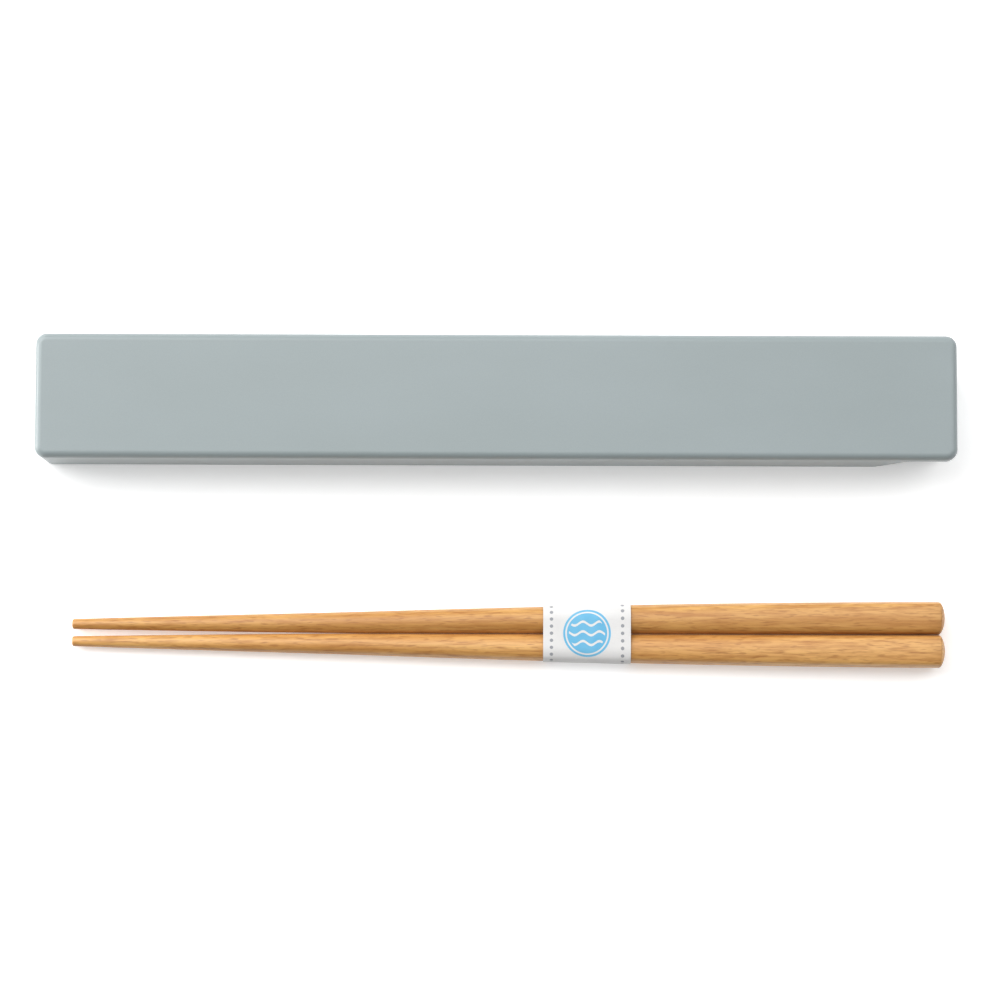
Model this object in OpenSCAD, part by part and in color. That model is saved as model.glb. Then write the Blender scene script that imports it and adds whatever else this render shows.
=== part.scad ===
// Portable chopstick case: a tray under a deep lift-off lid, with its pair of tapered
// chopsticks lying beside it in a paper band.
// Sizes are in millimetres and +Z is up. The origin is the centre of the tray's underside,
// +X points to the grip end, where the lid's skirt is cut up, and the chopsticks lie on
// the table in front of the case, towards -Y, with their tips at the -X end.

/* [Chopsticks] */
// Length of a chopstick
stick_l = 180; // [150:0.5:230]
// Width across the butt
butt_w = 6.8; // [5:0.1:9]
// Width across the tip
tip_w = 2.1; // [1.5:0.1:4]
// Power of the taper: 1 is a straight cone, more swells the middle
taper = 1.75; // [1.2:0.05:2.5]
// Squareness of the butt's section: 2 is round, more is squarer
butt_squareness = 3.4; // [2:0.1:6]
// Height of the domed butt end
butt_dome_h = 1.35; // [0.5:0.05:3]
// Rounding of the blunt tip
tip_edge_r = 0.4; // [0.2:0.05:0.7]
// Distance from the tips to the place where the pair touches
touch_s = 117; // [80:1:140]
// Clear gap between the chopsticks there, and between them and the paper
stick_gap = 0.1; // [0.05:0.05:0.5]

/* [Paper band] */
// Width of the paper strip, along the chopsticks
band_l = 18; // [8:0.5:40]
// Distance from the tips to the strip's near edge
band_s = 97.2; // [60:0.1:110]
// Thickness of the paper
band_t = 0.2; // [0.1:0.05:0.5]

/* [Room in the tray] */
// Spare length beyond the chopsticks
end_room = 2.6; // [1:0.1:10]
// Spare width beside the pair of butts
side_room = 6.4; // [2:0.1:15]
// Spare height above the butts
head_room = 5.4; // [2:0.1:12]

/* [Tray] */
// Thickness of the tray's walls
tray_t = 1.2; // [0.8:0.1:2]
// Thickness of the tray's floor
floor_t = 1.4; // [1:0.1:2.5]
// Radius of the tray's outer upright corners, seen from above
tray_corner_r = 0.7; // [0.6:0.1:3]
// Rounding of the tray's lower outer edge
tray_edge_r = 0.4; // [0.2:0.1:0.6]
// Radius of the tray's inner upright corners
tray_inner_r = 1.5; // [0.8:0.1:3]
// Fillet between the tray's walls and its floor
floor_fillet_r = 0.8; // [0.3:0.1:1.5]
// Height of the floor ribs that the chopsticks lie on
floor_rib_h = 0.8; // [0.4:0.1:2]
// Width of a floor rib
floor_rib_t = 1.6; // [0.8:0.1:4]
// Clear distance between a floor rib's ends and the tray's walls
floor_rib_gap = 2; // [1.6:0.1:6]
// Number of floor ribs
floor_ribs = 4; // [2:1:8]
// Length of the finger dip in each long wall
dip_l = 42; // [20:1:80]
// Depth of the finger dip
dip_h = 5; // [2:0.5:8]

/* [Lid] */
// Thickness of the lid's skirt
skirt_t = 1.4; // [1:0.1:2.5]
// Thickness of the lid's top
lid_top_t = 1.6; // [1.2:0.1:3]
// Rounding of the lid's top edge
lid_edge_r = 1.5; // [0.6:0.1:2.2]
// Height of the skirt's lower edge above the table
skirt_lift = 0.6; // [0.3:0.1:2]
// Clearance between the skirt and the tray, on each side
lid_gap = 0.2; // [0.15:0.05:0.5]
// Clearance between the lid's underside and the tray's rim
seat_gap = 0.1; // [0.05:0.05:0.3]
// Depth of the stiffening ribs under the lid's top
lid_rib_h = 1; // [0.5:0.1:2]
// Thickness of a stiffening rib
lid_rib_t = 1.2; // [0.8:0.1:2.5]
// Number of stiffening ribs
lid_ribs = 5; // [2:1:9]
// Radius of the upright friction beads on the tray's long walls
bead_r = 0.8; // [0.5:0.1:1.5]
// Distance of the friction beads from the middle of the case
bead_x = 60; // [30:1:70]
// Running clearance between a friction bead and the skirt
bead_gap = 0.05; // [0.02:0.01:0.1]

/* [Grip end] */
// Height that the skirt's lower edge is cut up by
grip_h = 11.4; // [4:0.1:12]
// Slope of the cut, in degrees
grip_slope = 64; // [30:1:75]
// Radius of the corner at the foot of the slope
grip_foot_r = 1; // [0.5:0.5:4]
// Radius of the corner at the head of the slope
grip_head_r = 2; // [0.5:0.5:6]
// Level stretch between the head of the slope and the end of the lid
grip_flat = 8.5; // [1:0.5:12]

/* [Place of the chopsticks] */
// Clear distance between the case's front wall and the rear butt
bundle_gap = 27.9; // [10:0.1:60]
// Shift of the chopsticks towards the grip end
bundle_shift = 2.6; // [-20:0.1:20]

/* [Hidden] */

case_colour = "#aab5b7";
wood_colour = "#d9a76c";
paper_colour = "#eeeeec";

// Sizes of the case, built out from the chopsticks that it holds
room_l = stick_l + end_room;
room_w = 2 * butt_w + side_room;
tray_l = room_l + 2 * tray_t;
tray_w = room_w + 2 * tray_t;
case_l = tray_l + 2 * (lid_gap + skirt_t);
case_w = tray_w + 2 * (lid_gap + skirt_t);
lid_under_z = floor_t + floor_rib_h + butt_w + head_room;
case_h = lid_under_z + lid_top_t;
rim_z = lid_under_z - seat_gap;
lid_room_r = tray_corner_r + lid_gap;
corner_r = lid_room_r + skirt_t;

// Facets of the lid's corners, the tray's small ones and the long arcs, and a cut's run past a face
corner_fn = 32;
small_fn = 16;
arc_fn = 96;
arc_steps = 8;
past = 1;

// Squareness of a round section, and the sections along a chopstick
round_squareness = 2;
stick_sides = 24;
stick_steps = 16;
dome_shares = [0.82, 0.58, 0.32, 0.1];
tip_angles = [0, 45];
band_steps = 12;

// Lean of each chopstick's axis, which lays the pair's sides along each other
lean = atan((butt_w - tip_w) / 2 * taper / stick_l * pow(1 - touch_s / stick_l, taper - 1));
tip_x = bundle_shift - stick_l / 2;
bundle_y = -case_w / 2 - bundle_gap - axis_off(stick_l) - butt_w / 2;

function spow(v, e) = sign(v) * pow(abs(v), e);
function stick_w(s) = tip_w + (butt_w - tip_w) * (1 - pow(1 - s / stick_l, taper));
function stick_squareness(s) = round_squareness + (butt_squareness - round_squareness) * s / stick_l;

// Place of a chopstick's axis at a distance s from the tip: off the pair's middle, above the table
function axis_off(s) = stick_w(touch_s) / 2 + stick_gap / 2 + (s - touch_s) * tan(lean);
function axis_z(s) = stick_w(touch_s) / 2 + stick_gap + band_t + (s - touch_s) * tan(lean);

// A point of a rounded-square section, on the unit size, at an angle round the axis
function section_point(angle, n) = [spow(cos(angle), 2 / n), spow(sin(angle), 2 / n)];

function stick_ring(x, half, n) =
    [for (i = [0 : stick_sides - 1])
        let (p = half * section_point(360 * i / stick_sides, n)) [x, p[0], p[1]]];

// Half the paper's outline round each chopstick: the pair's hull, grown by a margin
function band_ring(s, margin) =
    let (half = stick_w(s) / 2 + margin, n = stick_squareness(s))
    [for (side = [1, -1], i = [0 : band_steps])
        let (p = half * section_point(90 * (1 - side) - 90 + 180 * i / band_steps, n))
        [tip_x + s, bundle_y + side * axis_off(s) + p[0], axis_z(s) + p[1]]];

// Faces between each ring of points and the next, as triangles
function skin_faces(count, sides) =
    [for (k = [0 : count - 2], i = [0 : sides - 1], half = [0, 1])
        let (a = k * sides + i, b = k * sides + (i + 1) % sides)
        half == 0 ? [a, b, b + sides] : [a, b + sides, a + sides]];

// A solid along a list of rings, closed by its first and last ring
module ring_solid(rings) {
    count = len(rings);
    sides = len(rings[0]);
    points = [for (r = rings) each r];
    first = [for (i = [sides - 1 : -1 : 0]) i];
    last = [for (i = [0 : sides - 1]) (count - 1) * sides + i];
    polyhedron(points, concat(skin_faces(count, sides), [first, last]));
}

// A hoop along a list of rings whose last ring is its first again
module ring_hoop(rings) {
    count = len(rings) - 1;
    sides = len(rings[0]);
    points = [for (k = [0 : count - 1]) each rings[k]];
    total = count * sides;
    polyhedron(points, [for (f = skin_faces(count + 1, sides)) [for (v = f) v % total]]);
}

// A block with round upright corners and a rounded rim at its top, standing on z = 0
module rounded_block(l, w, h, plan_r, rim_r, facets) {
    hull()
        for (x = [-1, 1], y = [-1, 1])
            translate([x * (l / 2 - plan_r), y * (w / 2 - plan_r), 0]) {
                cylinder(r = plan_r, h = h - rim_r, $fn = facets);
                translate([0, 0, h - rim_r])
                    rotate_extrude($fn = facets)
                        intersection() {
                            translate([plan_r - rim_r, 0]) circle(r = rim_r, $fn = facets);
                            square([plan_r, rim_r]);
                        }
            }
}

// The same block with its rounded rim below, standing on z = 0
module rounded_hull(l, w, h, plan_r, rim_r, facets) {
    translate([0, 0, h]) mirror([0, 0, 1]) rounded_block(l, w, h, plan_r, rim_r, facets);
}

// Space in the tray above its floor
module tray_room() {
    translate([0, 0, floor_t])
        rounded_hull(room_l, room_w, lid_under_z - floor_t + past, tray_inner_r, floor_fillet_r, small_fn);
}

// Shallow arc cut through both long walls, where fingers reach the chopsticks
module finger_dip() {
    dip_r = (pow(dip_l / 2, 2) + pow(dip_h, 2)) / (2 * dip_h);
    translate([0, 0, rim_z - dip_h + dip_r])
        rotate([90, 0, 0]) cylinder(r = dip_r, h = tray_w + 2 * past, center = true, $fn = arc_fn);
}

module floor_rib(x) {
    span = room_w - 2 * floor_rib_gap;
    translate([x - floor_rib_t / 2, -span / 2, floor_t / 2])
        cube([floor_rib_t, span, floor_t / 2 + floor_rib_h]);
}

// Upright bead that takes up most of the clearance to the skirt
module friction_bead(x, side) {
    bead_y = tray_w / 2 + lid_gap - bead_gap - bead_r;
    translate([x, side * bead_y, floor_t])
        cylinder(r = bead_r, h = rim_z - floor_t - bead_r, $fn = small_fn);
}

module tray() {
    rib_pitch = room_l / floor_ribs;
    color(case_colour) {
        difference() {
            union() {
                rounded_hull(tray_l, tray_w, rim_z, tray_corner_r, tray_edge_r, small_fn);
                for (x = [-bead_x, bead_x], side = [-1, 1]) friction_bead(x, side);
            }
            tray_room();
            finger_dip();
        }
        for (i = [0 : floor_ribs - 1]) floor_rib((i - (floor_ribs - 1) / 2) * rib_pitch);
    }
}

// Space under the lid's top, inside the skirt
module lid_room() {
    centre_x = case_l / 2 - skirt_t - lid_room_r;
    centre_y = case_w / 2 - skirt_t - lid_room_r;
    translate([0, 0, -past])
        hull()
            for (x = [-1, 1], y = [-1, 1])
                translate([x * centre_x, y * centre_y, 0])
                    cylinder(r = lid_room_r, h = lid_under_z + past, $fn = corner_fn);
}

// Cut that lifts the skirt's lower edge at the grip end: a slope between two round corners
module grip_cut() {
    round_r = grip_foot_r + grip_head_r;
    straight_h = grip_h - round_r * (1 - cos(grip_slope));
    head_x = case_l / 2 - grip_flat;
    foot_x = head_x - round_r * sin(grip_slope) - straight_h / tan(grip_slope);
    head_z = skirt_lift + grip_h;
    turns = [for (i = [0 : arc_steps]) grip_slope * i / arc_steps];
    foot = [for (a = turns)
        [foot_x + grip_foot_r * sin(a), skirt_lift + grip_foot_r * (1 - cos(a))]];
    head = [for (a = turns)
        [head_x - grip_head_r * sin(grip_slope - a), head_z - grip_head_r * (1 - cos(grip_slope - a))]];
    end_x = case_l / 2 + past;
    below = [[end_x, head_z], [end_x, -past], [foot_x, -past]];
    translate([0, case_w / 2 + past, 0])
        rotate([90, 0, 0])
            linear_extrude(case_w + 2 * past) polygon(concat(foot, head, below));
}

module lid_rib(x) {
    span = room_w - 2 * lid_gap;
    translate([x - lid_rib_t / 2, -span / 2, lid_under_z - lid_rib_h])
        cube([lid_rib_t, span, lid_rib_h + lid_top_t / 2]);
}

module lid() {
    rib_pitch = room_l / lid_ribs;
    color(case_colour) {
        difference() {
            translate([0, 0, skirt_lift])
                rounded_block(case_l, case_w, case_h - skirt_lift, corner_r, lid_edge_r, corner_fn);
            lid_room();
            grip_cut();
        }
        for (i = [0 : lid_ribs - 1]) lid_rib((i - (lid_ribs - 1) / 2) * rib_pitch);
    }
}

// One chopstick along +X from its tip at the origin: blunt tip, swelling taper, domed butt
module chopstick() {
    body_l = stick_l - butt_dome_h;
    tip_rings = [for (a = tip_angles)
        stick_ring(tip_edge_r * (1 - cos(a)), tip_w / 2 - tip_edge_r * (1 - sin(a)), round_squareness)];
    body_rings = [for (i = [0 : stick_steps])
        let (s = tip_edge_r + (body_l - tip_edge_r) * i / stick_steps)
        stick_ring(s, stick_w(s) / 2, stick_squareness(s))];
    dome_rings = [for (share = dome_shares)
        stick_ring(stick_l - butt_dome_h * pow(share, 2), share * stick_w(body_l) / 2, butt_squareness)];
    color(wood_colour) ring_solid(concat(tip_rings, body_rings, dome_rings));
}

// A chopstick laid in the pair: side 1 is the rear one, -1 the front one
module laid_chopstick(side) {
    translate([tip_x, bundle_y + side * axis_off(0), axis_z(0)])
        rotate([0, -lean, side * lean]) chopstick();
}

module rear_chopstick() {
    laid_chopstick(1);
}

module front_chopstick() {
    laid_chopstick(-1);
}

// Strip of paper round the pair, drawn snug along their taper
module paper_band() {
    near_s = band_s;
    far_s = band_s + band_l;
    outside = stick_gap + band_t;
    color(paper_colour)
        ring_hoop([
            band_ring(near_s, outside),
            band_ring(far_s, outside),
            band_ring(far_s, stick_gap),
            band_ring(near_s, stick_gap),
            band_ring(near_s, outside)
        ]);
}

tray();
lid();
rear_chopstick();
front_chopstick();
paper_band();
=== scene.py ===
# %% [markdown]
# # A portable chopstick case and its chopsticks
#
# The set is a slim closed case, and in front of it the pair of wooden chopsticks that it
# holds, wrapped together in a strip of paper. The engineering model already gives the size
# and place of each part. Here every part is modelled again, finely enough to be looked at
# closely, and put exactly where the engineering model has it.

# %% Load the frame
import math

import bmesh
import bpy
from mathutils import Color, Matrix, Vector


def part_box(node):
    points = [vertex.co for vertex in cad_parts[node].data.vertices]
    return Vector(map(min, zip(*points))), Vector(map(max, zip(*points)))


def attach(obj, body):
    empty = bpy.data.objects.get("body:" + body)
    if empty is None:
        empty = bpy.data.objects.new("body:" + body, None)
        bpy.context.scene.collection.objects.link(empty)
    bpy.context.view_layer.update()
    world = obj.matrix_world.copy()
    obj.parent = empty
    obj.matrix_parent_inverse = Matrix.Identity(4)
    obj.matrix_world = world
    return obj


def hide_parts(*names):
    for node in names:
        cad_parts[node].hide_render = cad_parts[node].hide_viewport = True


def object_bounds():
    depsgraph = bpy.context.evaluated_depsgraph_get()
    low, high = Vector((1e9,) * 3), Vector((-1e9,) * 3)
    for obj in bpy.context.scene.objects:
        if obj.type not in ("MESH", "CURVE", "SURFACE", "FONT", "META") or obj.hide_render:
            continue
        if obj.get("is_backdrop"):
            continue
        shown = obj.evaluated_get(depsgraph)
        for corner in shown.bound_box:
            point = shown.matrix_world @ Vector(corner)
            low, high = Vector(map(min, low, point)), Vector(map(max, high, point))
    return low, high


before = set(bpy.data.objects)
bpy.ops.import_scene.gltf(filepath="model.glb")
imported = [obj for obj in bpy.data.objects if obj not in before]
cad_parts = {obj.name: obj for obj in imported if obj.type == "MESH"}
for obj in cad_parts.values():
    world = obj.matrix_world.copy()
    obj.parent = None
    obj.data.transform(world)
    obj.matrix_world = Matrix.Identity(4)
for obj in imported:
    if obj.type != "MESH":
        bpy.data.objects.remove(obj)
cad_low, cad_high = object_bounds()
MM = 0.001

print("set in mm:", [round(side / MM, 1) for side in cad_high - cad_low])

# %% [markdown]
# ## Camera
#
# The picture looks down on the table almost from straight above, so the case shows its lid
# and only a thin strip of its front wall. That strip sets the camera's height angle, and the
# way the two ends of the case lean sets its distance. A focal length in pixels keeps the
# scale right whatever the sensor: it is turned into Blender's millimetres at the end.

# %% Camera
IMAGE_PX = 1000
FOCAL_PX = 3464
CAMERA_RISE = math.radians(85.2)
CAMERA_ROLL = math.radians(0.183)
CAMERA_DISTANCE = 720 * MM
CAMERA_TARGET = Vector((0.83, -19.89, 0)) * MM

scene = bpy.context.scene
lens_data = bpy.data.cameras.new("camera")
lens_data.lens = lens_data.sensor_width * FOCAL_PX / IMAGE_PX
camera = bpy.data.objects.new("camera", lens_data)
scene.collection.objects.link(camera)
scene.camera = camera

back = Vector((0, -math.cos(CAMERA_RISE), math.sin(CAMERA_RISE)))
camera.matrix_world = (
    Matrix.Translation(CAMERA_TARGET + CAMERA_DISTANCE * back)
    @ Matrix.Rotation(math.pi / 2 - CAMERA_RISE, 4, "X")
    @ Matrix.Rotation(CAMERA_ROLL, 4, "Z")
)
print("lens in mm:", round(lens_data.lens, 1))

# %% [markdown]
# ## Light
#
# Two broad panels light the table from behind, the left one the stronger, and a weak one
# fills in from the right. A small panel overhead puts a soft sheen on the middle of the lid,
# and a low one on the left draws the bright line along the left edge of the case. Only a
# faint panel stands in front, so the lid's rounded front edge turns dark, as in the photo.
# Panels are Area lights, hidden from the camera, because other views could look into them.

# %% Light
SKY_STRENGTH = 0.01
WHITE = (1, 1, 1, 1)


def add_panel(name, place, size, watts):
    """A soft light panel at a place in metres, which faces the middle of the table."""
    data = bpy.data.lights.new(name, "AREA")
    data.shape = "RECTANGLE"
    data.size, data.size_y = size
    data.energy = watts
    panel = bpy.data.objects.new(name, data)
    scene.collection.objects.link(panel)
    panel.location = place
    panel.rotation_mode = "QUATERNION"
    panel.rotation_quaternion = Vector(place).to_track_quat("Z", "Y")
    panel.visible_camera = False
    return panel


panels = [
    add_panel("rear_left_panel", (-0.65, 0.5, 0.75), (1.0, 1.0), 14.2),
    add_panel("rear_right_panel", (0.65, 0.5, 0.75), (1.0, 1.0), 5.8),
    add_panel("right_panel", (0.8, 0.1, 0.85), (0.8, 0.8), 1.6),
    add_panel("overhead_panel", (-0.07, 0.3, 1.15), (0.42, 0.42), 2.3),
    add_panel("low_left_panel", (-1.15, 0, 0.17), (0.5, 0.3), 7.8),
    add_panel("front_panel", (0, -0.3, 1.15), (0.9, 0.5), 1.4),
]
sky = bpy.data.worlds.new("studio")
sky.use_nodes = True
backdrop = sky.node_tree.nodes["Background"]
backdrop.inputs["Color"].default_value = WHITE
backdrop.inputs["Strength"].default_value = SKY_STRENGTH
scene.world = sky
scene.view_settings.view_transform = "Standard"
print("light panels:", [(panel.name, round(panel.data.energy, 1)) for panel in panels])

# %% [markdown]
# ## Shading helpers
#
# Each finish is a small network of nodes, and these helpers keep the networks short. One
# adds a node and plugs in its inputs. The others use it for the few nodes that all finishes
# need: a mix of two colours, a sum, a bump, and the stretched noise that grain, speckle and
# fibres all come from. The noise reads Object coordinates in metres, so its sizes are given
# as the real size of a patch along X, Y and Z.

# %% Shading helpers
FULL_CHANNEL = 255
NOISE_RANGE = (0.3, 0.7)


def paint(*channels):
    """A colour as it looks on a screen, 0 to 255, turned into the shader's linear colour."""
    screen = Color([channel / FULL_CHANNEL for channel in channels])
    return (*screen.from_srgb_to_scene_linear(), 1.0)


def add_node(tree, kind, inputs, **settings):
    """A node with its settings made and its inputs set, or linked where the value is a socket."""
    node = tree.nodes.new(kind)
    for name, value in settings.items():
        setattr(node, name, value)
    for name, value in inputs.items():
        if isinstance(value, bpy.types.NodeSocket):
            tree.links.new(value, node.inputs[name])
        else:
            node.inputs[name].default_value = value
    return node


def mix(tree, share, first, second):
    """One colour over another. A Mix node keeps its colour sockets at places 6 and 7."""
    inputs = {0: share, 6: first, 7: second}
    return add_node(tree, "ShaderNodeMix", inputs, data_type="RGBA").outputs[2]


def sums(tree, operation, *values):
    """The result of a Math node."""
    return add_node(tree, "ShaderNodeMath", dict(enumerate(values)), operation=operation).outputs[0]


def patches(tree, place, size, detail=2.0, roughness=0.5, shift=(0, 0, 0)):
    """Noise from 0 to 1 whose patches have this size in metres along X, Y and Z."""
    scaled = add_node(
        tree,
        "ShaderNodeMapping",
        {"Vector": place, "Scale": [1 / side for side in size], "Location": shift},
    ).outputs[0]
    return add_node(
        tree,
        "ShaderNodeTexNoise",
        {"Vector": scaled, "Scale": 1.0, "Detail": detail, "Roughness": roughness},
    ).outputs[0]


def spread(tree, value, start=NOISE_RANGE, end=(0.0, 1.0)):
    """A value's range, by default what noise mostly covers, stretched to another and clamped."""
    limits = {"From Min": start[0], "From Max": start[1], "To Min": end[0], "To Max": end[1]}
    return add_node(tree, "ShaderNodeMapRange", {"Value": value, **limits}).outputs[0]


def emboss(tree, shader, height, depth):
    """A bump of this depth in metres."""
    bump = add_node(tree, "ShaderNodeBump", {"Height": height, "Distance": depth})
    tree.links.new(bump.outputs[0], shader.inputs["Normal"])


def new_finish(name):
    """A material, its nodes, its shader and the Object coordinates that its patterns read."""
    material = bpy.data.materials.new(name)
    material.use_nodes = True
    tree = material.node_tree
    place = tree.nodes.new("ShaderNodeTexCoord").outputs["Object"]
    return material, tree, tree.nodes["Principled BSDF"], place


print("a middle grey on screen is", round(paint(128, 128, 128)[0], 3), "in the shader")

# %% [markdown]
# ## Satin plastic
#
# The case is moulded in grey-green plastic with an even satin skin: fine spark texture from
# the mould, no gloss spots, no grain to see from a step away. A plain colour would look
# dead, so the colour drifts by a few shades over some centimetres, the roughness drifts with
# it, and a speckle a fifth of a millimetre wide breaks the highlights.

# %% Satin plastic
SATIN_DARK, SATIN_LIGHT = paint(143, 153, 154), paint(148, 158, 160)
SPECKLE_TINT = paint(106, 116, 117)
DRIFT_SIZE, SPECKLE_SIZE = (60 * MM, 25 * MM, 25 * MM), (0.22 * MM,) * 3
SPECKLE_RANGE, SPECKLE_SHARE = (0.35, 0.7), (0.0, 0.07)
SATIN_ROUGHNESS, SPARK_DEPTH = (0.36, 0.40), 0.006 * MM

satin, tree, shader, place = new_finish("satin_plastic")
drift = patches(tree, place, DRIFT_SIZE, detail=3.0)
speckle = patches(tree, place, SPECKLE_SIZE)
tint = mix(tree, spread(tree, drift), SATIN_DARK, SATIN_LIGHT)
tint = mix(tree, spread(tree, speckle, SPECKLE_RANGE, SPECKLE_SHARE), tint, SPECKLE_TINT)
tree.links.new(tint, shader.inputs["Base Color"])
tree.links.new(spread(tree, drift, end=SATIN_ROUGHNESS), shader.inputs["Roughness"])
emboss(tree, shader, speckle, SPARK_DEPTH)
print("finish:", satin.name, "with", len(tree.nodes), "nodes")

# %% [markdown]
# ## Oiled wood
#
# The chopsticks are a pale, close-grained hardwood. Its grain runs along the stick: broad
# bands a few millimetres wide, fine streaks inside them, and short dark flecks, where rays
# and pores were cut open. All three are the same noise, stretched more or less along X.
# Because the noise fills space, the grain runs on over the edges and shows as dots on the
# butt ends, as real grain does.

# %% Oiled wood
DARK_STREAK, FLECK = paint(166, 107, 46), paint(142, 84, 30)
GRAIN_SIZE, STREAK_SIZE = (45 * MM, 2.6 * MM, 2.6 * MM), (7 * MM, 0.6 * MM, 0.6 * MM)
FLECK_SIZE, FLECK_SHIFT = (2.6 * MM, 0.34 * MM, 0.34 * MM), (3, 5, 7)
STREAK_RANGE, STREAK_SHARE = (0.42, 0.72), (0.0, 0.8)
FLECK_RANGE, FLECK_SHARE = (0.56, 0.72), (0.0, 0.55)
WOOD_ROUGHNESS, OIL_SHEEN, PORE_DEPTH = (0.42, 0.52), 0.7, 0.006 * MM


def oiled_wood(name, dark_band, light_band):
    """Wood whose broad bands lie between these two colours."""
    finish, tree, shader, place = new_finish(name)
    bands = patches(tree, place, GRAIN_SIZE)
    streaks = patches(tree, place, STREAK_SIZE, detail=3.0, roughness=0.6)
    flecks = patches(tree, place, FLECK_SIZE, detail=1.0, shift=FLECK_SHIFT)
    flecks = spread(tree, flecks, FLECK_RANGE, FLECK_SHARE)
    colour = mix(tree, spread(tree, bands), dark_band, light_band)
    colour = mix(tree, spread(tree, streaks, STREAK_RANGE, STREAK_SHARE), colour, DARK_STREAK)
    colour = mix(tree, flecks, colour, FLECK)
    tree.links.new(colour, shader.inputs["Base Color"])
    tree.links.new(spread(tree, streaks, end=WOOD_ROUGHNESS), shader.inputs["Roughness"])
    shader.inputs["Specular IOR Level"].default_value = OIL_SHEEN
    emboss(tree, shader, sums(tree, "SUBTRACT", 1.0, flecks), PORE_DEPTH)
    print("finish:", name, "with", len(tree.nodes), "nodes")
    return finish


rear_wood = oiled_wood("oiled_wood_rear", paint(188, 132, 66), paint(218, 168, 98))
front_wood = oiled_wood("oiled_wood_front", paint(196, 139, 72), paint(219, 168, 99))

# %% [markdown]
# ## White paper
#
# The band is plain uncoated paper, so it is rough and has very little sheen. Two kinds of
# noise keep it from looking like plastic: faint clouds some millimetres wide, as in a sheet
# held to the light, and fine fibres, which also raise its surface a little.

# %% White paper
PAPER_DARK, PAPER_LIGHT = paint(215, 214, 213), paint(221, 220, 219)
FIBRE_TINT = paint(202, 201, 200)
CLOUD_SIZE, FIBRE_SIZE = (6 * MM,) * 3, (0.5 * MM, 0.16 * MM, 0.16 * MM)
FIBRE_RANGE, FIBRE_SHARE = (0.5, 0.75), (0.0, 0.2)
PAPER_ROUGHNESS, PAPER_SHEEN, FIBRE_DEPTH = (0.62, 0.74), 0.1, 0.006 * MM

printed, tree, shader, place = new_finish("printed_paper")
clouds = patches(tree, place, CLOUD_SIZE)
fibres = patches(tree, place, FIBRE_SIZE, detail=3.0)
white = mix(tree, spread(tree, clouds), PAPER_DARK, PAPER_LIGHT)
white = mix(tree, spread(tree, fibres, FIBRE_RANGE, FIBRE_SHARE), white, FIBRE_TINT)
tree.links.new(spread(tree, fibres, end=PAPER_ROUGHNESS), shader.inputs["Roughness"])
shader.inputs["Specular IOR Level"].default_value = PAPER_SHEEN
emboss(tree, shader, fibres, FIBRE_DEPTH)
print("finish:", printed.name, "with", len(tree.nodes), "nodes before the print")

# %% [markdown]
# ## Print on the paper
#
# The print is a sky-blue roundel with white waves, and a row of grey dots along each edge of
# the band. It could be an image, but here it is drawn with arithmetic on places in the flat
# sheet, in metres from its middle, so it is sharp at any zoom and bends with the paper. The
# band's mesh will carry those places in an attribute. Each shape is a sum that gives 1
# inside and 0 outside.

# %% Print on the paper
SHEET = "sheet"
ROUNDEL_R = 4.9 * MM
HOOP_R, HOOP_HALF_W = 4.3 * MM, 0.16 * MM
WAVES, WAVE_PITCH, WAVE_W = 3, 2.0 * MM, 0.5 * MM
WAVE_LENGTH, WAVE_HEIGHT, WAVE_FIELD_R = 3.4 * MM, 0.4 * MM, 3.7 * MM
DOT_COLUMN_X, DOT_R, DOT_PITCH = 7.3 * MM, 0.36 * MM, 1.5 * MM
BLUE_DARK, BLUE_LIGHT, INK_RANGE = paint(104, 174, 211), paint(117, 183, 217), (0.35, 0.65)
DOT_GREY = paint(150, 152, 156)


def reach(tree, vector):
    """The length of a vector."""
    return add_node(tree, "ShaderNodeVectorMath", {0: vector}, operation="LENGTH").outputs["Value"]


sheet = add_node(tree, "ShaderNodeAttribute", {}, attribute_name=SHEET).outputs["Vector"]
axes = add_node(tree, "ShaderNodeSeparateXYZ", {"Vector": sheet}).outputs
radius = reach(tree, sheet)

swell = sums(tree, "SINE", sums(tree, "MULTIPLY", axes["X"], 2 * math.pi / WAVE_LENGTH))
height = sums(tree, "MULTIPLY_ADD", swell, WAVE_HEIGHT, axes["Y"])
waves = sums(tree, "LESS_THAN", sums(tree, "PINGPONG", height, WAVE_PITCH / 2), WAVE_W / 2)
in_rows = sums(tree, "LESS_THAN", sums(tree, "ABSOLUTE", height), WAVES / 2 * WAVE_PITCH)
in_field = sums(tree, "LESS_THAN", radius, WAVE_FIELD_R)
waves = sums(tree, "MULTIPLY", waves, sums(tree, "MULTIPLY", in_rows, in_field))
hoop = sums(tree, "COMPARE", radius, HOOP_R, HOOP_HALF_W)
roundel = sums(tree, "LESS_THAN", radius, ROUNDEL_R)
blank = sums(tree, "SUBTRACT", 1.0, sums(tree, "MAXIMUM", waves, hoop))
blue_share = sums(tree, "MULTIPLY", roundel, blank)

column = sums(tree, "SUBTRACT", sums(tree, "ABSOLUTE", axes["X"]), DOT_COLUMN_X)
step = sums(tree, "PINGPONG", axes["Y"], DOT_PITCH / 2)
dot_place = add_node(tree, "ShaderNodeCombineXYZ", {"X": column, "Y": step}).outputs[0]
dots = sums(tree, "LESS_THAN", reach(tree, dot_place), DOT_R)

sky_blue = mix(tree, spread(tree, clouds, INK_RANGE), BLUE_DARK, BLUE_LIGHT)
inked = mix(tree, blue_share, white, sky_blue)
inked = mix(tree, dots, inked, DOT_GREY)
tree.links.new(inked, shader.inputs["Base Color"])
print("finish:", printed.name, "with", len(tree.nodes), "nodes")

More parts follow.
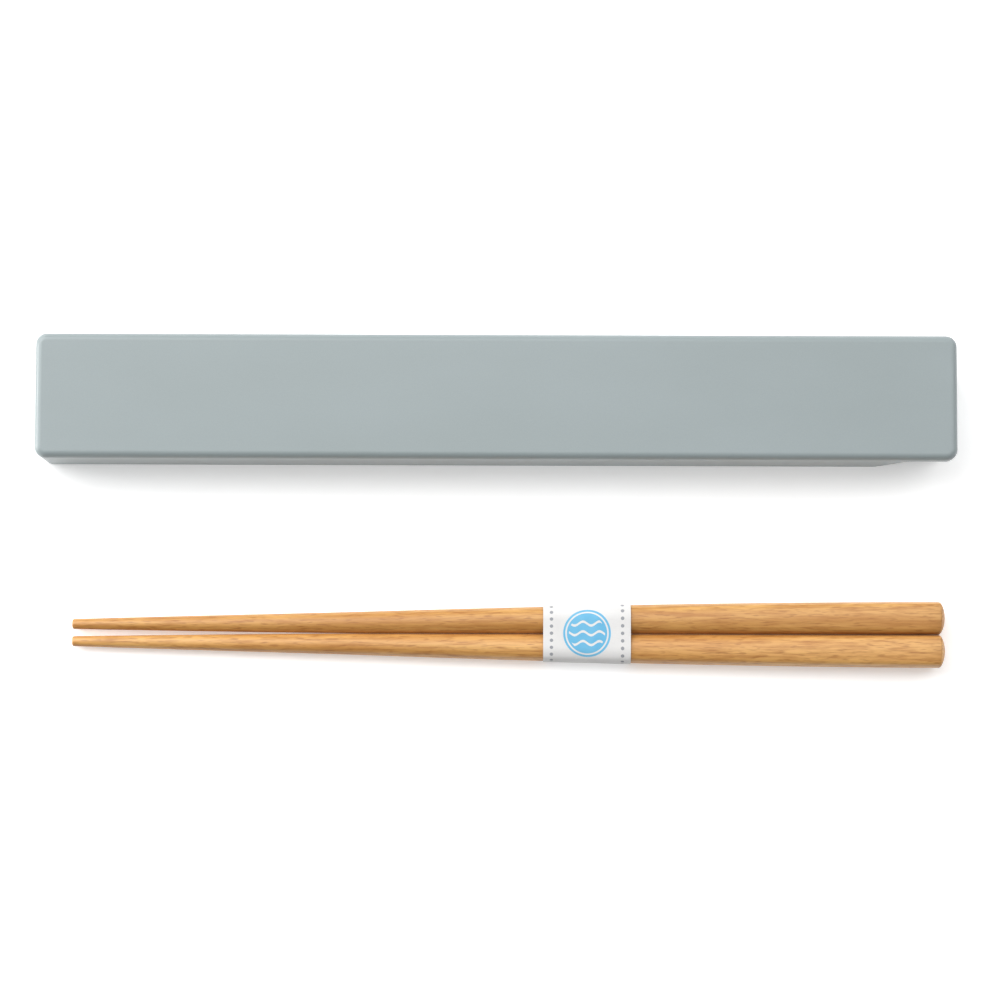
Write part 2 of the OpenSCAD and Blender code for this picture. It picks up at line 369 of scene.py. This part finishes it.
# %% [markdown]
# ## Table
#
# The table is matt white board, lit a little from below like the tables that products are
# photographed on. The glow keeps the shadows light and shows in the front wall of the case.
# One large square is enough, a hair below the set, so that nothing shares its plane.

# %% Table
FLOOR_SIZE, FLOOR_DROP = 6.0, 0.05 * MM
BOARD_DARK, BOARD_LIGHT = paint(250, 250, 250), paint(252, 252, 252)
TONE_SIZE, BOARD_ROUGHNESS, TABLE_GLOW = (0.4,) * 3, 0.7, 0.33

board, tree, shader, place = new_finish("white_board")
tone = patches(tree, place, TONE_SIZE, detail=1.0)
tone = mix(tree, tone, BOARD_DARK, BOARD_LIGHT)
tree.links.new(tone, shader.inputs["Base Color"])
shader.inputs["Roughness"].default_value = BOARD_ROUGHNESS
shader.inputs["Emission Color"].default_value = WHITE
shader.inputs["Emission Strength"].default_value = TABLE_GLOW

square = bmesh.new()
bmesh.ops.create_grid(square, x_segments=1, y_segments=1, size=FLOOR_SIZE / 2)
bmesh.ops.translate(square, vec=(0, 0, -FLOOR_DROP), verts=square.verts)
table_mesh = bpy.data.meshes.new("table")
square.to_mesh(table_mesh)
square.free()
table_mesh.materials.append(board)
floor = bpy.data.objects.new("table", table_mesh)
scene.collection.objects.link(floor)
floor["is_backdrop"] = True
print("table in m:", FLOOR_SIZE, "by", FLOOR_SIZE, "in", board.name)

# %% [markdown]
# ## How a moulded shell is made
#
# Tray and lid are both open boxes with thin walls and rounded corners. Solidify could give a
# wall its thickness, but it would tie the inner corners to the outer ones. So each shell
# starts as two boxes, one for the outside and one for the room inside. Each is bevelled by
# itself and loses its open side, and then bridge_loops joins the two rims. Both boxes get
# the same number of steps round a corner, so the bridge is a clean ring of quads.

# %% How a moulded shell is made
CORNER_STEPS, EDGE_STEPS, RIM_STEPS = 8, 6, 3
TINY = 1e-6


def soften(bm, edges, width, steps):
    """Rounds edges off."""
    bmesh.ops.bevel(
        bm, geom=edges, offset=width, offset_type="OFFSET", segments=steps,
        profile=0.5, affect="EDGES", material=-1,
    )
    bm.normal_update()


def open_box(low, high, corner_r, edge_r, opens_up):
    """A box with round upright corners, open at one end and with a rounded edge at the other."""
    bm = bmesh.new()
    bmesh.ops.create_cube(bm, size=1)
    bmesh.ops.scale(bm, vec=high - low, verts=bm.verts)
    bmesh.ops.translate(bm, vec=(low + high) / 2, verts=bm.verts)
    upright = [e for e in bm.edges if abs(e.verts[0].co.z - e.verts[1].co.z) > TINY]
    soften(bm, upright, corner_r, CORNER_STEPS)
    ends = sorted(bm.faces, key=lambda face: face.calc_center_median().z)
    open_end, closed_end = (ends[-1], ends[0]) if opens_up else (ends[0], ends[-1])
    closed_edges = list(closed_end.edges)
    bmesh.ops.delete(bm, geom=[open_end], context="FACES_ONLY")
    soften(bm, closed_edges, edge_r, EDGE_STEPS)
    return bm


def join_walls(outside, inside, rim_r):
    """Joins the outside and the inside of a shell at their rims, and softens the rim."""
    loose = bpy.data.meshes.new("inside_wall")
    bmesh.ops.reverse_faces(inside, faces=inside.faces)
    inside.to_mesh(loose)
    inside.free()
    outside.from_mesh(loose)
    bpy.data.meshes.remove(loose)
    rims = [edge for edge in outside.edges if edge.is_boundary]
    bmesh.ops.bridge_loops(outside, edges=rims)
    bmesh.ops.recalc_face_normals(outside, faces=outside.faces)
    soften(outside, rims, rim_r, RIM_STEPS)
    return outside


print("steps round a corner, an edge and a rim:", CORNER_STEPS, EDGE_STEPS, RIM_STEPS)

# %% [markdown]
# ## Rims and ribs
#
# A moulding's rim rises and dips, and low ribs stiffen its flat faces. Both could be separate
# shapes joined by a Boolean, but that leaves ragged faces. Here bisect_plane first cuts the
# wall or the flat where something has to change. Then the rim's new corners are moved to
# their height, or the new faces are extruded into ribs, so each shell stays one clean mesh.

# %% Rims and ribs
RIB_STEPS = 2


def once(items):
    """The items in their order, each of them once."""
    return list(dict.fromkeys(items))


def cut(bm, faces, point, normal):
    """Cuts these faces along a plane, and leaves the others alone."""
    parts = once(part for face in faces for part in (face, *face.edges, *face.verts))
    bmesh.ops.bisect_plane(bm, geom=parts, dist=TINY, plane_co=point, plane_no=normal)


def shape_rim(bm, stations, rim_height):
    """Cuts the box at each station along X and moves the open rim to its height there."""
    for x in stations:
        cut(bm, bm.faces[:], (x, 0, 0), (1, 0, 0))
    for vert in bm.verts:
        if vert.is_boundary:
            vert.co.z = rim_height(vert.co.x)


def extrude(bm, faces):
    """Extrudes faces. Their edges go in too, or the old faces would stay behind inside."""
    edges = once(edge for face in faces for edge in face.edges)
    made = bmesh.ops.extrude_face_region(bm, geom=[*faces, *edges])["geom"]
    return [item for item in made if isinstance(item, bmesh.types.BMFace)]


def raise_ribs(bm, level, centres, thickness, span, rise, edge_r):
    """Cuts the outlines of cross ribs into the flat face at this level, and extrudes them."""
    def flat_faces():
        return [f for f in bm.faces if abs(f.calc_center_median().z - level) < TINY]

    for x in centres:
        for side in (-1, 1):
            cut(bm, flat_faces(), (x + side * thickness / 2, 0, level), (1, 0, 0))
    for side in (-1, 1):
        cut(bm, flat_faces(), (0, side * span / 2, level), (0, 1, 0))
    outlines = []
    for face in flat_faces():
        centre = face.calc_center_median()
        if abs(centre.y) < span / 2 and any(abs(centre.x - x) < thickness / 2 for x in centres):
            outlines.append(face)
    tops = extrude(bm, outlines)
    corners = once(vert for face in tops for vert in face.verts)
    bmesh.ops.translate(bm, vec=(0, 0, rise), verts=corners)
    soften(bm, once(edge for vert in corners for edge in vert.link_edges), edge_r, RIB_STEPS)
    return len(tops)


def row(count, length):
    """The middles of equal parts of a length, which is centred on the origin."""
    return [((index + 0.5) / count - 0.5) * length for index in range(count)]


print("steps round a rib's edge:", RIB_STEPS)

# %% [markdown]
# ## Making a piece out of a mesh
#
# Every piece goes the same way from mesh to scene: smooth shading, with edges sharper than a
# set angle kept crisp, its finish, and then the three lines that tie it to the engineering
# model. Weighted normals let a large flat face decide the shading along its border, so
# the bevels look round and the flats stay flat.

# %% Making a piece out of a mesh
CRISP_ANGLE = math.radians(50)


def add_piece(name, bm, node, body, finish):
    """A finished piece, which stands for a node and rides on its body."""
    mesh = bpy.data.meshes.new(name)
    bm.to_mesh(mesh)
    print(name, "faces:", len(bm.faces), "open edges:", sum(e.is_boundary for e in bm.edges))
    bm.free()
    mesh.shade_smooth()
    mesh.set_sharp_from_angle(angle=CRISP_ANGLE)
    mesh.materials.append(finish)
    piece = bpy.data.objects.new(name, mesh)
    scene.collection.objects.link(piece)
    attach(piece, body)
    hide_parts(node)
    return piece


def weigh_normals(piece):
    """Lets the large flat faces set the shading along their borders."""
    weigh = piece.modifiers.new("flat_faces_first", "WEIGHTED_NORMAL")
    weigh.keep_sharp = True


print("edges stay crisp above", round(math.degrees(CRISP_ANGLE)), "degrees")

# %% [markdown]
# ## Lid
#
# The lid is the deep upper shell, which hides the tray almost down to the table. Its top
# edge is rounded all round. At the right end the skirt is cut up in a slope, which leaves a
# place to hold the tray while the lid is drawn off. The cut is made by cutting the long
# walls at a few stations and lifting the rim there to a slope between two round corners.
# Under the top, five low ribs keep the long flat face from bowing.

# %% Lid
SKIRT_T, LID_TOP_T = 1.4 * MM, 1.6 * MM
LID_GAP, TRAY_T = 0.2 * MM, 1.2 * MM
LID_CORNER_R, LID_EDGE_R = 2.3 * MM, 1.5 * MM
LID_ROOM_R, LID_ROOM_EDGE_R = LID_CORNER_R - SKIRT_T, 0.3 * MM
GRIP_H, GRIP_SLOPE = 11.4 * MM, math.radians(64)
GRIP_FOOT_R, GRIP_HEAD_R, GRIP_FLAT = 1 * MM, 2 * MM, 8.5 * MM
GRIP_STEPS = 6
SHELL_RIM_R, RIB_EDGE_R = 0.22 * MM, 0.25 * MM
LID_RIBS, LID_RIB_T, LID_RIB_H, LID_RIB_SPAN = 5, 1.2 * MM, 1.0 * MM, 19.6 * MM

lid_low, lid_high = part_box("lid")
room_l = 2 * (lid_high.x - SKIRT_T - LID_GAP - TRAY_T)
head_x = lid_high.x - GRIP_FLAT
head_z = lid_low.z + GRIP_H
round_r = GRIP_FOOT_R + GRIP_HEAD_R
straight_h = GRIP_H - round_r * (1 - math.cos(GRIP_SLOPE))
foot_x = head_x - round_r * math.sin(GRIP_SLOPE) - straight_h / math.tan(GRIP_SLOPE)
turns = [GRIP_SLOPE * index / GRIP_STEPS for index in range(GRIP_STEPS + 1)]
grip_edge = [
    (foot_x + GRIP_FOOT_R * math.sin(turn), lid_low.z + GRIP_FOOT_R * (1 - math.cos(turn)))
    for turn in turns
] + [
    (head_x - GRIP_HEAD_R * math.sin(turn), head_z - GRIP_HEAD_R * (1 - math.cos(turn)))
    for turn in reversed(turns)
]


def skirt_height(x):
    """Height of the skirt's lower edge at a place along the lid."""
    if x <= foot_x:
        return lid_low.z
    return min(grip_edge, key=lambda station: abs(station[0] - x))[1]


lid_walls = []
skirt = Vector((SKIRT_T, SKIRT_T, 0))
lid_under = lid_high.z - LID_TOP_T
room_high = Vector((lid_high.x - SKIRT_T, lid_high.y - SKIRT_T, lid_under))
for low, high, corner_r, edge_r in (
    (lid_low, lid_high, LID_CORNER_R, LID_EDGE_R),
    (lid_low + skirt, room_high, LID_ROOM_R, LID_ROOM_EDGE_R),
):
    wall = open_box(low, high, corner_r, edge_r, opens_up=False)
    shape_rim(wall, [x for x, z in grip_edge], skirt_height)
    lid_walls.append(wall)
ribs = raise_ribs(
    lid_walls[1], lid_under, row(LID_RIBS, room_l), LID_RIB_T, LID_RIB_SPAN, -LID_RIB_H, RIB_EDGE_R
)
lid = add_piece("lid_shell", join_walls(*lid_walls, SHELL_RIM_R), "lid", "lid", satin)
weigh_normals(lid)
print("lid ribs:", ribs, "and a grip slope from", round(foot_x / MM, 1), "mm")

# %% [markdown]
# ## Tray
#
# The tray is the lower shell, and shows when the lid is off. A shallow arc dips into both
# long walls, so that fingers can reach the chopsticks, and low ribs hold them off the floor.
# On the outside, four upright beads take up most of the play to the skirt: they are what
# holds the lid. A bead is made by cutting the wall into strips and pushing them out along a
# circle. The inside wall is cut at the same places, so that the two rims still match.

# %% Tray
FLOOR_T = 1.4 * MM
TRAY_CORNER_R, TRAY_EDGE_R = 0.7 * MM, 0.4 * MM
ROOM_CORNER_R, ROOM_EDGE_R = 1.5 * MM, 0.8 * MM
DIP_L, DIP_H, DIP_STEPS = 42 * MM, 5 * MM, 28
FLOOR_RIBS, FLOOR_RIB_T, FLOOR_RIB_H, FLOOR_RIB_SPAN = 4, 1.6 * MM, 0.8 * MM, 16 * MM
BEAD_R, BEAD_X, BEAD_PROUD, BEAD_END = 0.8 * MM, 60 * MM, 0.15 * MM, 0.3 * MM
BEAD_STRIPS = 6
SQUARE_ON = 0.999

tray_low, tray_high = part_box("tray")
outer = lid_high.to_2d() - Vector((SKIRT_T + LID_GAP,) * 2)
inner = outer - Vector((TRAY_T,) * 2)
dip_r = ((DIP_L / 2) ** 2 + DIP_H**2) / (2 * DIP_H)
dip_stations = [DIP_L * (index / DIP_STEPS - 0.5) for index in range(DIP_STEPS + 1)]
bead_half = math.sqrt(BEAD_R**2 - (BEAD_R - BEAD_PROUD) ** 2)
bead_stations = [
    bead_x + bead_half * (2 * index / BEAD_STRIPS - 1)
    for bead_x in (-BEAD_X, BEAD_X)
    for index in range(BEAD_STRIPS + 1)
]


def rim_height(x):
    """Height of the tray's rim at a place along the tray."""
    if abs(x) >= DIP_L / 2:
        return tray_high.z
    return tray_high.z - DIP_H + dip_r - math.sqrt(dip_r**2 - x**2)


def push_bead(bm, bead_x, side):
    """Pushes an upright bead out of one long wall, which is already cut into strips there."""
    foot, head = FLOOR_T, tray_high.z - BEAD_R

    def strips():
        near = [f for f in bm.faces if abs(f.calc_center_median().x - bead_x) < bead_half]
        return [f for f in near if f.normal.y * side > SQUARE_ON]

    for z in (foot, foot + BEAD_END, head - BEAD_END, head):
        cut(bm, strips(), (0, 0, z), (0, 0, 1))
    for vert in once(v for f in strips() for v in f.verts):
        across = abs(vert.co.x - bead_x)
        if across < bead_half - TINY and foot + TINY < vert.co.z < head - TINY:
            vert.co.y += side * (math.sqrt(BEAD_R**2 - across**2) - BEAD_R + BEAD_PROUD)
    bm.normal_update()


tray_walls = []
for plan, floor_z, corner_r, edge_r in (
    (outer, tray_low.z, TRAY_CORNER_R, TRAY_EDGE_R),
    (inner, FLOOR_T, ROOM_CORNER_R, ROOM_EDGE_R),
):
    low, high = Vector((*-plan, floor_z)), Vector((*plan, tray_high.z))
    wall = open_box(low, high, corner_r, edge_r, opens_up=True)
    shape_rim(wall, dip_stations + bead_stations, rim_height)
    tray_walls.append(wall)
for bead_x in (-BEAD_X, BEAD_X):
    for side in (-1, 1):
        push_bead(tray_walls[0], bead_x, side)
ribs = raise_ribs(
    tray_walls[1], FLOOR_T, row(FLOOR_RIBS, room_l), FLOOR_RIB_T, FLOOR_RIB_SPAN, FLOOR_RIB_H, RIB_EDGE_R
)
tray = add_piece("tray_shell", join_walls(*tray_walls, SHELL_RIM_R), "tray", "tray", satin)
weigh_normals(tray)
print("floor ribs:", ribs, "and a dip of radius", round(dip_r / MM, 1), "mm")

# %% [markdown]
# ## Line and section of a chopstick
#
# A chopstick is thin and round at the tip and grows, in one swelling curve, to a softly
# squared butt. The two inner sides lie together from the butts on and part towards the tips,
# as in the photo, so each stick has a slight bow of its own. The underside swells too, so
# the axis rises to the butt by just so much that the lowest point is next to the band. All
# these are functions of the distance from the tip, since the paper has to follow them too.

# %% Line and section of a chopstick
STICK_L, BUTT_W, TIP_W, TAPER = 180 * MM, 6.8 * MM, 2.1 * MM, 1.75
TIP_SIDE_TURN, BUTT_SIDE_TURN, BUTT_CORNER = math.radians(45), math.radians(17), 0.32
TOUCH_S, STICK_GAP, BAND_T = 117 * MM, 0.1 * MM, 0.2 * MM
INNER_GAP, TIP_SPREAD, PARTING_S, PARTING_BEND = 0.02 * MM, 0.71 * MM, 60 * MM, 1.3


def stick_width(s):
    """Width of a chopstick at a distance from its tip."""
    return TIP_W + (BUTT_W - TIP_W) * (1 - (1 - s / STICK_L) ** TAPER)


lean_slope = (BUTT_W - TIP_W) / 2 * TAPER / STICK_L * (1 - TOUCH_S / STICK_L) ** (TAPER - 1)


def axis_off(s):
    """Distance of a chopstick's axis from the pair's middle line."""
    parted = TIP_SPREAD * max(0, 1 - s / PARTING_S) ** PARTING_BEND
    return stick_width(s) / 2 + INNER_GAP / 2 + parted


def axis_height(s):
    """Height of a chopstick's axis above the table."""
    return stick_width(TOUCH_S) / 2 + STICK_GAP + BAND_T + (s - TOUCH_S) * lean_slope


def section_point(facing, s):
    """The point of a section of half-width 1 whose surface faces this angle round the axis.

    A section is a square with bulging sides and round corners. Each side turns by side_turn
    to either side of its middle, and the corner makes up the rest of the quarter turn.
    """
    squared = s / STICK_L
    side_turn = TIP_SIDE_TURN + (BUTT_SIDE_TURN - TIP_SIDE_TURN) * squared
    corner_r = 1 + (BUTT_CORNER - 1) * squared
    bend = math.sin(side_turn) - math.cos(side_turn)
    side_r = (1 + corner_r * bend) / (1 + bend)
    quarter = round(facing / (math.pi / 2)) * math.pi / 2
    turn = facing - quarter
    if abs(turn) <= side_turn:
        out, along = 1 - side_r * (1 - math.cos(turn)), side_r * math.sin(turn)
    else:
        centre = (side_r - corner_r) * math.sin(side_turn)
        out = centre + corner_r * math.cos(turn)
        along = math.copysign(centre, turn) + corner_r * math.sin(turn)
    across = out * math.cos(quarter) - along * math.sin(quarter)
    up = out * math.sin(quarter) + along * math.cos(quarter)
    return across, up


widths = [stick_width(s) for s in (0, STICK_L / 2, STICK_L)]
print("stick width in mm at tip, middle and butt:", [round(width / MM, 1) for width in widths])

# %% [markdown]
# ## Chopsticks
#
# One face is extruded again and again from the tip to the butt, and after each step its
# corners are moved onto the section that belongs there. The rings lie closer together at the
# rounded tip and in the dome that ends the butt. A vertex layer keeps each corner's angle
# round the stick; extruding copies it, so the corners stay in line.

# %% Chopsticks
STICK_SIDES, STICK_RINGS = 40, 64
TIP_EDGE_R, TIP_STEPS = 0.4 * MM, 4
BUTT_DOME_H, BUTT_CAP = 1.35 * MM, 0.06
DOME_STEPS, DOME_POINT = 10, 1.5

rear_low, rear_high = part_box("rear_chopstick")
front_low, front_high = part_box("front_chopstick")
pair_y = (rear_low.y + rear_high.y + front_low.y + front_high.y) / 4
tip_x = rear_low.x
lean = math.atan(lean_slope)

body_end = STICK_L - BUTT_DOME_H
stick_rings = []
for index in range(TIP_STEPS):
    turn = math.pi / 2 * index / TIP_STEPS
    narrow = TIP_EDGE_R * (1 - math.sin(turn))
    stick_rings.append((TIP_EDGE_R * (1 - math.cos(turn)), TIP_W / 2 - narrow))
for index in range(STICK_RINGS + 1):
    s = TIP_EDGE_R + (body_end - TIP_EDGE_R) * index / STICK_RINGS
    stick_rings.append((s, stick_width(s) / 2))
butt_half = stick_width(body_end) / 2
for index in range(1, DOME_STEPS):
    turn = math.pi / 2 * index / DOME_STEPS
    half = butt_half * math.cos(turn) ** DOME_POINT
    stick_rings.append((body_end + BUTT_DOME_H * math.sin(turn), half))
stick_rings.append((STICK_L, butt_half * BUTT_CAP))


def add_chopstick(name, node, side, finish):
    """One chopstick, laid at the rear (1) or the front (-1) of the pair."""
    bm = bmesh.new()
    bmesh.ops.create_circle(bm, segments=STICK_SIDES, radius=1, cap_ends=True)
    bm.faces.ensure_lookup_table()
    angle = bm.verts.layers.float.new("angle")
    for vert in bm.verts:
        vert[angle] = math.atan2(vert.co.y, vert.co.x)
    end_face = bm.faces[0]
    for number, (s, half) in enumerate(stick_rings):
        if number:
            end_face = extrude(bm, [end_face])[0]
        for vert in end_face.verts:
            across, up = section_point(vert[angle], s)
            vert.co = (s, side * axis_off(s) + half * across, half * up)
    bmesh.ops.recalc_face_normals(bm, faces=bm.faces)
    laid = Matrix.Translation((tip_x, pair_y, axis_height(0))) @ Matrix.Rotation(-lean, 4, "Y")
    bmesh.ops.transform(bm, matrix=laid, verts=bm.verts)
    add_piece(name, bm, node, node, finish)


add_chopstick("rear_stick", "rear_chopstick", 1, rear_wood)
add_chopstick("front_stick", "front_chopstick", -1, front_wood)
print("each stick has", len(stick_rings), "rings and rises", round(math.degrees(lean), 2), "degrees")

# %% [markdown]
# ## Paper band
#
# The band is one strip of thin paper. It is drawn flat across the top of the pair, round the
# two outer sides and across the bottom, where its ends overlap and are glued. So it starts
# as a flat grid, as the real strip does, and every point is moved to its place on the
# wrap and keeps its place in the flat sheet for the print. The wrap grows by a little more
# than one paper thickness on its way round, which makes room for the overlap. Solidify gives
# the sheet its thickness last.

# %% Paper band
PAPER_T = 0.095 * MM
INNER_LAYER, OUTER_LAYER = 0.15 * MM, 0.25 * MM
FLAP_INNER, FLAP_OUTER = 2.2 * MM, 2.6 * MM
STRETCHES, STRETCH_STEPS, BAND_RINGS = 5, 24, 8
BAND_S, BAND_L = 97.2 * MM, 18 * MM


def wrapped(s, turn):
    """A point of the wrap, at a distance from the tips and a number of stretches round it.

    The stretches are the inner flap, the front stick's outer side, the top, the rear stick's
    outer side and the outer flap.
    """
    stretch = min(int(turn), STRETCHES - 1)
    share = turn - stretch
    grown = min(max((turn - 1) / (STRETCHES - 2), 0), 1)
    half = stick_width(s) / 2 + INNER_LAYER + (OUTER_LAYER - INNER_LAYER) * grown
    off = axis_off(s)
    if stretch == 0:
        y, z = FLAP_INNER + (-off - FLAP_INNER) * share, -half
    elif stretch == 1:
        across, up = section_point(math.pi * (1.5 - share), s)
        y, z = -off + half * across, half * up
    elif stretch == 2:
        y, z = off * (2 * share - 1), half
    elif stretch == 3:
        across, up = section_point(math.pi * (0.5 - share), s)
        y, z = off + half * across, half * up
    else:
        y, z = off + (-FLAP_OUTER - off) * share, -half
    return Vector((tip_x + s, pair_y + y, axis_height(s) + z))


band_rows = STRETCHES * STRETCH_STEPS
band_middle = BAND_S + BAND_L / 2
path = [wrapped(band_middle, number / STRETCH_STEPS) for number in range(band_rows + 1)]
run = [0.0]
for here, there in zip(path, path[1:]):
    run.append(run[-1] + (there - here).length)

strip = bmesh.new()
bmesh.ops.create_grid(strip, x_segments=BAND_RINGS, y_segments=band_rows, size=0.5)
sheet_place = strip.verts.layers.float_vector.new(SHEET)
for vert in strip.verts:
    # The grid is 1 by 1, so a place on it plus a half is a share of the way across.
    s = BAND_S + BAND_L * (vert.co.x + 0.5)
    number = round(band_rows * (vert.co.y + 0.5))
    vert[sheet_place] = (s - band_middle, run[number] - run[band_rows // 2], 0)
    vert.co = wrapped(s, number / STRETCH_STEPS)
bmesh.ops.recalc_face_normals(strip, faces=strip.faces)
band = add_piece("band_paper", strip, "paper_band", "band", printed)
thickness = band.modifiers.new("paper_thickness", "SOLIDIFY")
thickness.thickness = PAPER_T
thickness.offset = 0
weigh_normals(band)
print("paper strip in mm:", round(BAND_L / MM, 1), "by", round(run[-1] / MM, 1))

# %% [markdown]
# ## Measure and finish
#
# The dressed set has to keep the size of the engineering model, so both boxes are set side by side at
# the end.

# %% Measure and finish
bpy.context.view_layer.update()
low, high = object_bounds()
{"cad": [list(cad_low), list(cad_high)], "visual": [list(low), list(high)]}
print("visual set in mm:", [round(side / MM, 1) for side in high - low])
